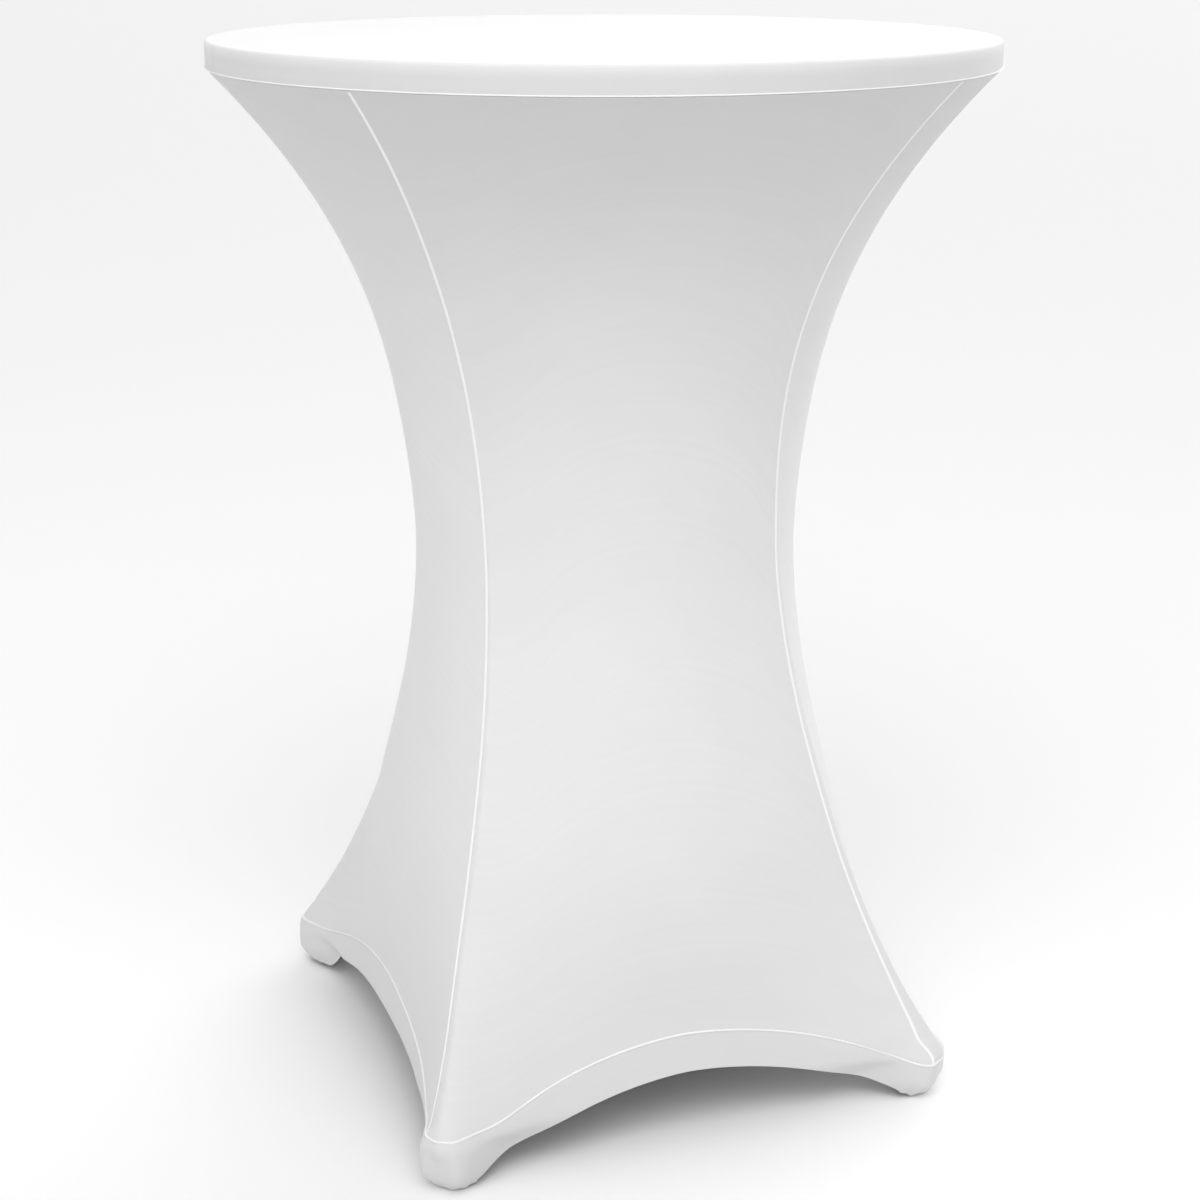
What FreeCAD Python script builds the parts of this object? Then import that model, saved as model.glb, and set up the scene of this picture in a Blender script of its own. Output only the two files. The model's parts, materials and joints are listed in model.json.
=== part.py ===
import FreeCAD, Part
import math
import os
from FreeCAD import Vector

# A round bar-height table under a white stretch cover.
# Frame: origin on the floor under the middle of the top, +Z up. The four feet stand on the
# diagonals and the four cloth panels face -Y, +X, +Y and -X. Millimetres.

os.makedirs("parts", exist_ok=True)

# ---- driving dimensions ------------------------------------------------------------------
TABLE_HEIGHT = 1100.0           # floor to the top of the board, on its glides
TABLE_RADIUS = 400.0
BOARD_THICKNESS = 25.0
EDGE_BAND = 2.0                 # plastic band round the board
EDGE_ROUND = 2.0

SOLE_THICKNESS = 1.5            # patch of the cover that lies under each glide
CLOTH = 1.0                     # one layer of knit
HEM_CLOTH = 1.7                 # the turned-up hem is two layers
CLEAR = 0.3                     # air between the cloth and the table
SKIN_GAP = 0.1                  # air between sewn cloth pieces
SEAM_GAP = 0.25                 # and under the corner seams, which bridge two panels

ARM_WIDTH = 45.0                # rectangular tube of the cross base
ARM_HEIGHT = 30.0
ARM_WALL = 2.0
ARM_ROUND = 4.0
ARM_START = 24.0                # the four tubes stop short of the tie rod
ARM_END = 376.7
CAP_LENGTH = 14.0
CAP_ROUND = 12.0

GLIDE_REACH = 362.0             # glides lie this far from the middle
GLIDE_HEIGHT = 20.0             # underside of the arm above the sole patch
GLIDE_RADIUS = 16.0
STUD_RADIUS = 4.0
STUD_LENGTH = 36.0
COLLAR_HEIGHT = 5.0
RUNNING = 0.05                  # radial clearance of a thread or a bolt in its hole

COLUMN_RADIUS = 38.0
COLUMN_WALL = 2.0
ROD_RADIUS = 6.0
HUB_PLATE = 170.0
BOTTOM_PLATE = 3.0
BOLT_RADIUS = 4.0
BOLT_PLACES = (50.0, 72.0)      # distances of an arm's two bolts from the middle
SPIDER_REACH = 250.0
SPIDER_WIDTH = 40.0
SPIDER_THICKNESS = 5.0
SCREW_RADIUS = 2.5
SCREW_PLACES = (150.0, 235.0)

WAIST_HEIGHT = 600.0            # the cover is narrowest here
WAIST_RADIUS = 212.0            # measured at the corner seams
UPPER_CURVE = 2.43              # how the seams sweep out to the rim
LOWER_CURVE = 1.68              # and down to the feet
FOOT_HEIGHT = 60.0              # height and radius where the seams reach the feet
FOOT_RADIUS = 378.0
# Half the angle that a panel lies flat over, by height: 0 is a round section, 45 is square.
FLATNESS = ((50, 48), (107, 45.7), (150, 42.3), (200, 37.3), (300, 28.5), (450, 24.5),
            (600, 17.8), (750, 6), (900, 2), (1075, 0))
# The cover is pulled on a little turned: degrees that it leads the feet by, by height.
TWIST = ((50, 0), (200, -2.7), (400, -4.8), (600, -8.2), (850, -12), (1075, -9.6))
FLARE_POWER = 6.0               # how tightly the cloth gathers to each foot
HEM_RISE, HEM_DROP, HEM_CURVE = 107.0, 75.0, 1.7        # upper, stitched edge of the hem
EDGE_RISE, EDGE_DROP, EDGE_CURVE = 66.5, 63.5, 1.42     # free lower edge of the hem
HEM_ENDS = 40.5                 # the hem runs this far to each side, into the foot pockets
SEAM_HALF_WIDTH = 4.0
SEAM_THICKNESS = 0.9            # the welt: turned edges and the thread over them
SEAM_PARTING = 1.6              # the panels stop this far short of the corner line
POCKET_START = 316.0
POCKET_TAPER = 26.0             # below this height the pocket narrows to the glide
POCKET_MOUTH = 17.5             # half the inside width of its open underside

SIDES = ("front", "right", "back", "left")
CORNERS = ("front_right", "back_right", "back_left", "front_left")

# ---- heights that follow -----------------------------------------------------------------
ARM_BOTTOM = SOLE_THICKNESS + GLIDE_HEIGHT
ARM_TOP = ARM_BOTTOM + ARM_HEIGHT
ARM_TIP = ARM_END + CAP_LENGTH
BOARD_TOP = TABLE_HEIGHT + SOLE_THICKNESS
BOARD_BOTTOM = BOARD_TOP - BOARD_THICKNESS
SPIDER_BOTTOM = BOARD_BOTTOM - SPIDER_THICKNESS
RIM_BOTTOM = BOARD_BOTTOM - 1.2
SKIRT_TOP = RIM_BOTTOM - 0.5
RIM_RADIUS = TABLE_RADIUS + SKIN_GAP + CLOTH
POCKET_TOP = ARM_TOP + CLEAR + CLOTH
HUB_TOP = ARM_TOP + 6.0
WASHER_BOTTOM = ARM_BOTTOM - BOTTOM_PLATE - 1.5
NUT_BOTTOM = WASHER_BOTTOM - 9.0


# ---- small helpers -----------------------------------------------------------------------
def save(name, shape):
    shape.exportStep("parts/%s.step" % name)


def turned(shape, degrees):
    copy = shape.copy()
    copy.rotate(Vector(0, 0, 0), Vector(0, 0, 1), degrees)
    return copy


def block(x0, x1, half_width, z0, z1):
    """A block along +X, centred on the X axis."""
    return Part.makeBox(x1 - x0, 2 * half_width, z1 - z0, Vector(x0, -half_width, z0))


def rod(radius, z0, z1, x=0.0, y=0.0):
    return Part.makeCylinder(radius, z1 - z0, Vector(x, y, z0))


def hexagon(across_flats, z0, z1, x=0.0):
    corner = across_flats / math.sqrt(3)
    points = [Vector(x + corner * math.cos(math.radians(60 * i)),
                     corner * math.sin(math.radians(60 * i)), z0) for i in range(7)]
    return Part.Face(Part.makePolygon(points)).extrude(Vector(0, 0, z1 - z0))


def rounded(shape, radius, chosen):
    """Fillet the straight edges whose middle and direction satisfy chosen(middle, direction)."""
    edges = []
    for edge in shape.Edges:
        a, b = edge.Vertexes[0].Point, edge.Vertexes[-1].Point
        if chosen((a + b) * 0.5, (b - a).normalize()):
            edges.append(edge)
    return shape.makeFillet(radius, edges)


def smooth_between(knots, z):
    """Value at height z of a smooth curve through (height, value) knots."""
    if z <= knots[0][0]:
        return float(knots[0][1])
    if z >= knots[-1][0]:
        return float(knots[-1][1])
    slopes = []
    for i in range(len(knots)):
        low, high = knots[max(i - 1, 0)], knots[min(i + 1, len(knots) - 1)]
        slopes.append((high[1] - low[1]) / (high[0] - low[0]))
    i = max(n for n in range(len(knots) - 1) if knots[n][0] <= z)
    (z0, v0), (z1, v1) = knots[i], knots[i + 1]
    t = (z - z0) / (z1 - z0)
    return ((1 + 2 * t) * (1 - t) ** 2 * v0 + t * (1 - t) ** 2 * (z1 - z0) * slopes[i]
            + t * t * (3 - 2 * t) * v1 - t * t * (1 - t) * (z1 - z0) * slopes[i + 1])


# ---- the cover's surface -----------------------------------------------------------------
def seam_radius(z):
    """Distance of a corner seam from the middle."""
    if z > WAIST_HEIGHT:
        share = (z - WAIST_HEIGHT) / (SKIRT_TOP - WAIST_HEIGHT)
        return WAIST_RADIUS + (TABLE_RADIUS + 0.5 - WAIST_RADIUS) * share ** UPPER_CURVE
    share = (WAIST_HEIGHT - max(z, FOOT_HEIGHT - 5)) / (WAIST_HEIGHT - FOOT_HEIGHT)
    return WAIST_RADIUS + (FOOT_RADIUS - WAIST_RADIUS) * share ** LOWER_CURVE


def cover_point(side, across, z):
    """Outer face of the cover: across runs from -45 to 45 degrees over one panel."""
    corner = seam_radius(z)
    flat = smooth_between(FLATNESS, z)
    middle = corner * math.cos(math.radians(flat))
    flat = min(flat, 45.0)
    radius = middle / math.cos(math.radians(flat * across / 45.0))
    gather = corner - middle / math.cos(math.radians(flat))
    radius += gather * (abs(across) / 45.0) ** FLARE_POWER
    angle = math.radians(90.0 * side - 90.0 + across + smooth_between(TWIST, z))
    return Vector(radius * math.cos(angle), radius * math.sin(angle), z)


def inward(side, across, z, depth):
    """The point of the cover at this place, moved in by depth along the surface's normal."""
    step = 0.05
    along = cover_point(side, across + step, z) - cover_point(side, across - step, z)
    if abs(across) > 45.0 - step:
        along = cover_point(side, across, z) - cover_point(side, across * 0.998, z)
        along = along * (1 if across > 0 else -1)
    up = cover_point(side, across, z + step) - cover_point(side, across, z - step)
    normal = along.cross(up).normalize()
    return cover_point(side, across, z) - normal * depth


def hem_line(across):
    """Height of the stitched upper edge of the hem."""
    return HEM_RISE - HEM_DROP * math.tan(math.radians(abs(across))) ** HEM_CURVE


def hem_edge(across):
    """Height of the hem's free lower edge."""
    return EDGE_RISE - EDGE_DROP * math.tan(math.radians(abs(across))) ** EDGE_CURVE


def panel_foot(across):
    """Lower edge of a panel: the hem line, easing over to the top of the foot pocket."""
    ease = 12.0
    line, pocket = max(hem_line(across), 1.0) + SKIN_GAP, POCKET_TOP + 1.5
    return (line ** ease + pocket ** ease) ** (1.0 / ease)


def eased(count):
    """Shares from 0 to 1, closer together near both ends."""
    return [0.5 - 0.5 * math.cos(math.pi * i / (count - 1)) for i in range(count)]


def sheet_solid(inner, outer):
    """Closed solid between two grids of points, which are the sheet's two faces."""
    surfaces = []
    for grid in (inner, outer):
        surface = Part.BSplineSurface()
        surface.interpolate(grid)
        surfaces.append(surface)
    faces = [surface.toShape() for surface in surfaces]
    u0, u1, v0, v1 = surfaces[0].bounds()
    a0, a1, b0, b1 = surfaces[1].bounds()
    rims = [(surfaces[0].uIso(u0), surfaces[1].uIso(a0)), (surfaces[0].uIso(u1), surfaces[1].uIso(a1)),
            (surfaces[0].vIso(v0), surfaces[1].vIso(b0)), (surfaces[0].vIso(v1), surfaces[1].vIso(b1))]
    faces += [Part.makeRuledSurface(near.toShape(), far.toShape()) for near, far in rims]
    shell = Part.Shell(faces)
    shell.sewShape()
    solid = Part.Solid(shell)
    if solid.Volume < 0:
        solid.reverse()
    return solid


def side_panel(side):
    inner, outer = [], []
    for share in eased(21):
        column_in, column_out = [], []
        for height in eased(25):
            foot = panel_foot(45.0 * (2 * share - 1))
            z = foot + (SKIRT_TOP - foot) * height
            reach = 45.0 - math.degrees(SEAM_PARTING / seam_radius(z))
            across = reach * (2 * share - 1)
            column_in.append(inward(side, across, z, CLOTH))
            column_out.append(cover_point(side, across, z))
        inner.append(column_in)
        outer.append(column_out)
    return sheet_solid(inner, outer)


def hem_band(side):
    inner, outer = [], []
    for share in eased(15):
        across = HEM_ENDS * (2 * share - 1)
        top, bottom = hem_line(across) - SKIN_GAP, hem_edge(across)
        heights = [bottom + (top - bottom) * i / 6 for i in range(7)]
        inner.append([inward(side, across, z, HEM_CLOTH) for z in heights])
        outer.append([cover_point(side, across, z) for z in heights])
    return sheet_solid(inner, outer)


def seam_point(corner, offset, z, lift):
    """Point of a corner seam: offset mm to one side of the corner line, lift mm off the cover."""
    shift = math.degrees(offset / seam_radius(z))
    left = inward(corner, min(45.0 + shift, 45.0), z, -lift)
    right = inward(corner + 1, max(-45.0 + shift, -45.0), z, -lift)
    if offset == 0:
        return (left + right) * 0.5
    return left if offset < 0 else right


def corner_seam(corner):
    """The overlocked welt that joins two panels, from the foot pocket up to the rim."""
    inner, outer = [], []
    foot = POCKET_TOP + 1.0
    for share in (-1.0, -0.7, -0.35, 0.0, 0.35, 0.7, 1.0):
        column_in, column_out = [], []
        for height in eased(17):
            z = foot + (SKIRT_TOP - 1.0 - foot) * height
            offset = share * SEAM_HALF_WIDTH
            column_in.append(seam_point(corner, offset, z, SEAM_GAP))
            column_out.append(seam_point(corner, offset, z, SEAM_GAP + SEAM_THICKNESS))
        inner.append(column_in)
        outer.append(column_out)
    return sheet_solid(inner, outer)


def round_edges_at(shape, radius, level, edge_radius):
    """Fillet the circular edges of this radius at this height."""
    edges = [e for e in shape.Edges
             if hasattr(e.Curve, "Radius") and abs(e.Curve.Radius - radius) < 0.01
             and abs(e.CenterOfMass.z - level) < 0.01]
    return shape.makeFillet(edge_radius, edges)


def cover_top_panel():
    """The round top piece, which wraps down over the rim of the board."""
    inside = TABLE_RADIUS + SKIN_GAP
    outer = rod(RIM_RADIUS, RIM_BOTTOM, BOARD_TOP + SKIN_GAP + CLOTH)
    outer = round_edges_at(outer, RIM_RADIUS, BOARD_TOP + SKIN_GAP + CLOTH, EDGE_ROUND + CLOTH)
    inner = rod(inside, RIM_BOTTOM - 1, BOARD_TOP + SKIN_GAP)
    inner = round_edges_at(inner, inside, BOARD_TOP + SKIN_GAP, EDGE_ROUND)
    return outer.cut(inner)


def cover_rim_seam():
    bead = 0.7
    return Part.makeTorus(RIM_RADIUS + bead, bead, Vector(0, 0, RIM_BOTTOM + bead))


def shoe(half_width, tip, top, corner, edge, start, bottom):
    """Block with a rounded outer end and rounded upper edges, on the X axis."""
    shape = block(start, tip, half_width, bottom, top)
    shape = rounded(shape, corner, lambda m, d: abs(d.z) > 0.9 and m.x > tip - 1)
    crown = [e for e in shape.Edges
             if abs(e.CenterOfMass.z - top) < 0.01 and e.CenterOfMass.x > start + 1]
    return shape.makeFillet(edge, crown)


def nose_outline(half_width, tip, corner, start, level):
    """Level outline on the X axis: straight sides and a rounded outer end."""
    points = [Vector(start, -half_width, level), Vector(tip - corner, -half_width, level),
              Vector(tip, corner - half_width, level), Vector(tip, half_width - corner, level),
              Vector(tip - corner, half_width, level), Vector(start, half_width, level)]
    bulge = corner * math.sqrt(0.5)
    near = Vector(tip - corner + bulge, corner - half_width - bulge, level)
    far = Vector(tip - corner + bulge, half_width - corner + bulge, level)
    edges = [Part.LineSegment(points[0], points[1]).toShape(),
             Part.Arc(points[1], near, points[2]).toShape(),
             Part.LineSegment(points[2], points[3]).toShape(),
             Part.Arc(points[3], far, points[4]).toShape(),
             Part.LineSegment(points[4], points[5]).toShape(),
             Part.LineSegment(points[5], points[0]).toShape()]
    return Part.Wire(edges)


def pocket_body(grow, start, bottom):
    """The pocket's inside, or its outside when grown by the cloth: a shoe that narrows below."""
    half, tip, corner = ARM_WIDTH / 2 + CLEAR + grow, ARM_TIP + CLEAR + grow, CAP_ROUND + grow
    mouth_tip = GLIDE_REACH + POCKET_MOUTH + grow
    body = shoe(half, tip, ARM_TOP + CLEAR + grow, corner, ARM_ROUND + grow, start, POCKET_TAPER)
    outlines = []
    for share in (0.0, 0.3, 0.6, 0.85, 1.0):
        level = POCKET_TAPER + (bottom - POCKET_TAPER) * share
        drawn_in = share ** 1.6
        outlines.append(nose_outline(half + (POCKET_MOUTH + grow - half) * drawn_in,
                                     tip + (mouth_tip - tip) * drawn_in, corner, start, level))
    for upper, lower in zip(outlines, outlines[1:]):
        body = body.fuse(Part.makeLoft([upper, lower], True, True))
    return body


def foot_pocket(corner):
    """Cloth round the end of an arm, open underneath over the glide."""
    bottom = SOLE_THICKNESS + CLEAR
    pocket = pocket_body(CLOTH, POCKET_START, bottom).cut(pocket_body(0.0, POCKET_START - 10, bottom))
    heel = Part.Face(Part.makePolygon([Vector(x, -40, z) for x, z in (
        (POCKET_START - 1, 0), (POCKET_START + 34, 0), (POCKET_START - 1, POCKET_TAPER),
        (POCKET_START - 1, 0))])).extrude(Vector(0, 80, 0))
    return turned(pocket.cut(heel).removeSplitter(), corner)


def pocket_sole(corner):
    reach, corner_round = POCKET_MOUTH + 0.5, 8.0
    patch = block(GLIDE_REACH - reach, GLIDE_REACH + reach, reach, 0, SOLE_THICKNESS)
    patch = rounded(patch, corner_round, lambda m, d: abs(d.z) > 0.9)
    return turned(patch, corner)


# ---- the table ---------------------------------------------------------------------------
def table_top_board():
    radius = TABLE_RADIUS - EDGE_BAND
    board = rod(radius, BOARD_BOTTOM, BOARD_TOP)
    for turn in range(4):
        for place in SCREW_PLACES:
            hole = rod(SCREW_RADIUS + RUNNING, BOARD_BOTTOM - 1, BOARD_BOTTOM + 18.5, place)
            board = board.cut(turned(hole, 45 + 90 * turn))
    return board


def table_edge_band():
    inner, low, high, r = TABLE_RADIUS - EDGE_BAND, BOARD_BOTTOM, BOARD_TOP, EDGE_ROUND
    band = rod(TABLE_RADIUS, low, high).cut(rod(inner, low - 1, high + 1))
    for level in (low, high):
        band = round_edges_at(band, TABLE_RADIUS, level, r * 0.9)
    return band


def top_spider():
    """Cast plate under the board: four arms, and a boss that locates the column."""
    low, high = SPIDER_BOTTOM, BOARD_BOTTOM
    plate = rod(62, low, high)
    for turn in range(4):
        arm = block(0, SPIDER_REACH, SPIDER_WIDTH / 2, low, high)
        arm = rounded(arm, 15, lambda m, d: abs(d.z) > 0.9 and m.x > SPIDER_REACH - 1)
        plate = plate.fuse(turned(arm, 45 + 90 * turn))
    plate = plate.fuse(rod(COLUMN_RADIUS - COLUMN_WALL - 0.2, low - 12, low + 1)).removeSplitter()
    plate = plate.cut(rod(ROD_RADIUS + RUNNING, low - 13, high + 1))
    for turn in range(4):
        for place in SCREW_PLACES:
            hole = rod(SCREW_RADIUS + 0.4, low - 1, high + 1, place)
            plate = plate.cut(turned(hole, 45 + 90 * turn))
    return plate


def spider_screws():
    """Eight pan-head wood screws from the spider into the board."""
    screws = []
    for turn in range(4):
        for place in SCREW_PLACES:
            shank = rod(SCREW_RADIUS, SPIDER_BOTTOM - 0.5, BOARD_BOTTOM + 13, place)
            point = Part.makeCone(SCREW_RADIUS, 0.4, 5, Vector(place, 0, BOARD_BOTTOM + 13))
            head = rod(4.8, SPIDER_BOTTOM - 3, SPIDER_BOTTOM, place)
            head = round_edges_at(head, 4.8, SPIDER_BOTTOM - 3, 1.5)
            cross = block(place - 2.4, place + 2.4, 0.5, SPIDER_BOTTOM - 4, SPIDER_BOTTOM - 1.6)
            slot = block(place - 0.5, place + 0.5, 2.4, SPIDER_BOTTOM - 4, SPIDER_BOTTOM - 1.6)
            screw = head.fuse(shank).fuse(point).cut(cross.fuse(slot)).removeSplitter()
            screws.append(turned(screw, 45 + 90 * turn))
    return Part.makeCompound(screws)


def column_tube():
    return rod(COLUMN_RADIUS, HUB_TOP, SPIDER_BOTTOM).cut(
        rod(COLUMN_RADIUS - COLUMN_WALL, HUB_TOP - 1, SPIDER_BOTTOM + 1))


def tie_rod():
    """Long threaded rod that clamps the column between the base and the spider."""
    bar = rod(ROD_RADIUS, NUT_BOTTOM - 3, BOARD_BOTTOM - 1)
    return bar.makeChamfer(1.0, [e for e in bar.Edges if hasattr(e.Curve, "Radius")])


def tie_rod_nut():
    return hexagon(18.0, NUT_BOTTOM, WASHER_BOTTOM).cut(
        rod(ROD_RADIUS + RUNNING, NUT_BOTTOM - 1, WASHER_BOTTOM + 1))


def tie_rod_washer():
    top = ARM_BOTTOM - BOTTOM_PLATE
    return rod(12.0, WASHER_BOTTOM, top).cut(rod(ROD_RADIUS + 0.4, WASHER_BOTTOM - 1, top + 1))


def bolt_holes(shape, low, high, radius):
    for turn in range(4):
        for place in BOLT_PLACES:
            shape = shape.cut(turned(rod(radius, low - 1, high + 1, place), 45 + 90 * turn))
    return shape


def hub_plate(low, high, corner_round):
    half = HUB_PLATE / 2
    plate = turned(block(-half, half, half, low, high), 45)
    return rounded(plate, corner_round, lambda m, d: abs(d.z) > 0.9)


def base_top_plate():
    """Square plate over the four arms, with the boss that locates the column."""
    plate = hub_plate(ARM_TOP, HUB_TOP, 12)
    plate = plate.fuse(rod(COLUMN_RADIUS - COLUMN_WALL - 0.2, HUB_TOP - 1, HUB_TOP + 12))
    plate = plate.removeSplitter()
    plate = plate.cut(rod(ROD_RADIUS + 0.5, ARM_TOP - 1, HUB_TOP + 13))
    return bolt_holes(plate, ARM_TOP, HUB_TOP, BOLT_RADIUS + 0.3)


def base_bottom_plate():
    low = ARM_BOTTOM - BOTTOM_PLATE
    plate = hub_plate(low, ARM_BOTTOM, 12).cut(rod(ROD_RADIUS + 0.5, low - 1, ARM_BOTTOM + 1))
    return bolt_holes(plate, low, ARM_BOTTOM, BOLT_RADIUS + RUNNING)


def base_arm(corner):
    half = ARM_WIDTH / 2
    arm = block(ARM_START, ARM_END, half, ARM_BOTTOM, ARM_TOP)
    arm = rounded(arm, ARM_ROUND, lambda m, d: abs(d.x) > 0.9)
    hollow = block(ARM_START - 1, ARM_END + 1, half - ARM_WALL, ARM_BOTTOM + ARM_WALL,
                   ARM_TOP - ARM_WALL)
    arm = arm.cut(rounded(hollow, ARM_ROUND - ARM_WALL, lambda m, d: abs(d.x) > 0.9))
    for place in BOLT_PLACES:
        arm = arm.cut(rod(BOLT_RADIUS + 0.3, ARM_BOTTOM - 1, ARM_TOP + 1, place))
    arm = arm.cut(rod(STUD_RADIUS + 0.5, ARM_BOTTOM - 1, ARM_BOTTOM + ARM_WALL + 1, GLIDE_REACH))
    return turned(arm, corner)


def arm_end_cap(corner):
    """Plastic plug: a rounded nose outside the tube and a spigot inside it."""
    half = ARM_WIDTH / 2
    nose = block(ARM_END, ARM_TIP, half, ARM_BOTTOM, ARM_TOP)
    nose = rounded(nose, CAP_ROUND, lambda m, d: abs(d.z) > 0.9 and m.x > ARM_TIP - 1)
    rims = [e for e in nose.Edges if e.CenterOfMass.x > ARM_END + 0.5
            and (abs(e.CenterOfMass.z - ARM_TOP) < 0.01 or abs(e.CenterOfMass.z - ARM_BOTTOM) < 0.01)]
    nose = nose.makeFillet(ARM_ROUND, rims)
    inset = ARM_WALL + 0.15
    spigot = block(ARM_END - 6, ARM_END + 1, half - inset, ARM_BOTTOM + inset, ARM_TOP - inset)
    spigot = rounded(spigot, ARM_ROUND - ARM_WALL, lambda m, d: abs(d.x) > 0.9)
    return turned(nose.fuse(spigot).removeSplitter(), corner)


def base_bolts():
    """Eight hex bolts that clamp the arms between the two plates."""
    bolts = []
    for turn in range(4):
        for place in BOLT_PLACES:
            head = hexagon(13.0, HUB_TOP, HUB_TOP + 5.3, place)
            shank = rod(BOLT_RADIUS, ARM_BOTTOM - 2.5, HUB_TOP + 1, place)
            bolts.append(turned(head.fuse(shank).removeSplitter(), 45 + 90 * turn))
    return Part.makeCompound(bolts)


def glide_nut(corner):
    """Flanged weld nut on the floor of the arm, which the stud screws through."""
    low = ARM_BOTTOM + ARM_WALL
    nut = hexagon(14.0, low, low + 8, GLIDE_REACH).fuse(rod(8.4, low, low + 1.5, GLIDE_REACH))
    nut = nut.removeSplitter().cut(rod(STUD_RADIUS + RUNNING, low - 1, low + 9, GLIDE_REACH))
    return turned(nut, corner)


def glide_stud(corner):
    """Threaded stud with a hex collar for the spanner."""
    collar_low = SOLE_THICKNESS + 7.0
    stud = rod(STUD_RADIUS, SOLE_THICKNESS + 2.5, collar_low + STUD_LENGTH, GLIDE_REACH)
    stud = stud.makeChamfer(0.8, [e for e in stud.Edges if hasattr(e.Curve, "Radius")
                                  and e.CenterOfMass.z > collar_low + 1])
    collar = hexagon(14.0, collar_low, collar_low + COLLAR_HEIGHT, GLIDE_REACH)
    return turned(stud.fuse(collar).removeSplitter(), corner)


def glide_pad(corner):
    """Nylon foot moulded round the end of the stud."""
    low, high = SOLE_THICKNESS, SOLE_THICKNESS + 7.0
    pad = rod(GLIDE_RADIUS, low, high, GLIDE_REACH)
    pad = round_edges_at(pad, GLIDE_RADIUS, high, 3.0)
    pad = round_edges_at(pad, GLIDE_RADIUS, low, 1.0)
    return turned(pad.cut(rod(STUD_RADIUS, low + 1.0, high + 1, GLIDE_REACH)), corner)


# ---- write the parts ---------------------------------------------------------------------
save("cover_top_panel", cover_top_panel())
save("cover_rim_seam", cover_rim_seam())
for number, name in enumerate(SIDES):
    save("side_panel_" + name, side_panel(number))
    save("hem_band_" + name, hem_band(number))
for number, name in enumerate(CORNERS):
    bearing = 90.0 * number - 45.0
    save("corner_seam_" + name, corner_seam(number))
    save("foot_pocket_" + name, foot_pocket(bearing))
    save("pocket_sole_" + name, pocket_sole(bearing))
    save("base_arm_" + name, base_arm(bearing))
    save("arm_end_cap_" + name, arm_end_cap(bearing))
    save("glide_nut_" + name, glide_nut(bearing))
    save("glide_stud_" + name, glide_stud(bearing))
    save("glide_pad_" + name, glide_pad(bearing))
save("table_top_board", table_top_board())
save("table_edge_band", table_edge_band())
save("top_spider", top_spider())
save("spider_screws", spider_screws())
save("column_tube", column_tube())
save("tie_rod", tie_rod())
save("tie_rod_nut", tie_rod_nut())
save("tie_rod_washer", tie_rod_washer())
save("base_top_plate", base_top_plate())
save("base_bottom_plate", base_bottom_plate())
save("base_bolts", base_bolts())
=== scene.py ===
import json
import math

import bpy
import numpy as np
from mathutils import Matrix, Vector


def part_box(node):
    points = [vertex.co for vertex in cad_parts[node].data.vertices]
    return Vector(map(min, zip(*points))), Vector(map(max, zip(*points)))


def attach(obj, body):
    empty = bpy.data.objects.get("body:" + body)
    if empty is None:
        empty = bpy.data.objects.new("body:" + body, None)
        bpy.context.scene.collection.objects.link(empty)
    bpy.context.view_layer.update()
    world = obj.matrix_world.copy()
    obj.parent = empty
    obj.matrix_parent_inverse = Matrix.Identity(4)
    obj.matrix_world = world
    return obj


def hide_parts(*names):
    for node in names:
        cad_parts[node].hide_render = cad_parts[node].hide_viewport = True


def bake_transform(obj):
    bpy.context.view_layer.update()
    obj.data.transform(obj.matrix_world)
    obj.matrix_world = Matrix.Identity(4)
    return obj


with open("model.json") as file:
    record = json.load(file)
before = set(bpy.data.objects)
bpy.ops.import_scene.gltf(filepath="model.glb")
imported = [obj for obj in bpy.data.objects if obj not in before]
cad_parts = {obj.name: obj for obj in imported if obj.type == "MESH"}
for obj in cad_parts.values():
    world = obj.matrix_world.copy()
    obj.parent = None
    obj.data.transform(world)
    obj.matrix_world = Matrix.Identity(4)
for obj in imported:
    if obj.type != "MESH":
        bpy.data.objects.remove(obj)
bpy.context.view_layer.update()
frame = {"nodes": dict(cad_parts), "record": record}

# A round bar-height table under a white stretch cover, in metres, feet on the diagonals.
# The cover's surface follows the same formulas as the CAD cover. Near each foot it also
# wraps the end of the base arm, which the CAD model makes as a plain pocket, and its seams
# lie a little beside the ridges that the arms pull out.

SIDES = ("front", "right", "back", "left")
CORNERS = ("front_right", "back_right", "back_left", "front_left")
TABLE = "table"

# ---- sizes that the frame gives ----------------------------------------------------------
cap_low, cap_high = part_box("cover_top_panel")
rim_low, rim_high = cap_low.z, cap_high.z
rim_radius = cap_high.x
board_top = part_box("table_top_board")[1].z
skirt_top = rim_low - 0.0005
sole_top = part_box("pocket_sole_back_right")[1].z

# ---- the cover's shape -------------------------------------------------------------------
WAIST_HEIGHT, WAIST_RADIUS = 0.600, 0.212
UPPER_CURVE, LOWER_CURVE = 2.43, 1.68
FOOT_HEIGHT, FOOT_RADIUS = 0.060, 0.378
# How flat a panel is, by height: 0 is round, 45 is straight from ridge to ridge, and more is
# hollow. Then how far the whole cover has turned about the table, in degrees.
FLATNESS = ((.050, 48), (.107, 45.7), (.150, 42.3), (.200, 37.3), (.300, 28.5), (.450, 24.5),
            (.600, 17.8), (.750, 6), (.900, 2), (1.075, 0))
TWIST = ((.050, 0), (.200, -2.7), (.400, -4.8), (.600, -8.2), (.850, -12), (1.075, -9.6))
FLARE_POWER = 6.0               # how late a panel flares out towards its ridges
FLARE_HEIGHTS = (0.030, 0.050)  # it starts to flare between these heights
SKIRT_INSET = 0.0007            # at its top the skirt lies this far inside the rim's face
# The seams have turned this much further than the ridges that the arms pull out.
SEAM_SHIFT = ((.050, -2.7), (.100, -1.8), (.160, -1.4), (.400, -1.6), (.600, -1.2), (.850, 0.0))
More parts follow.
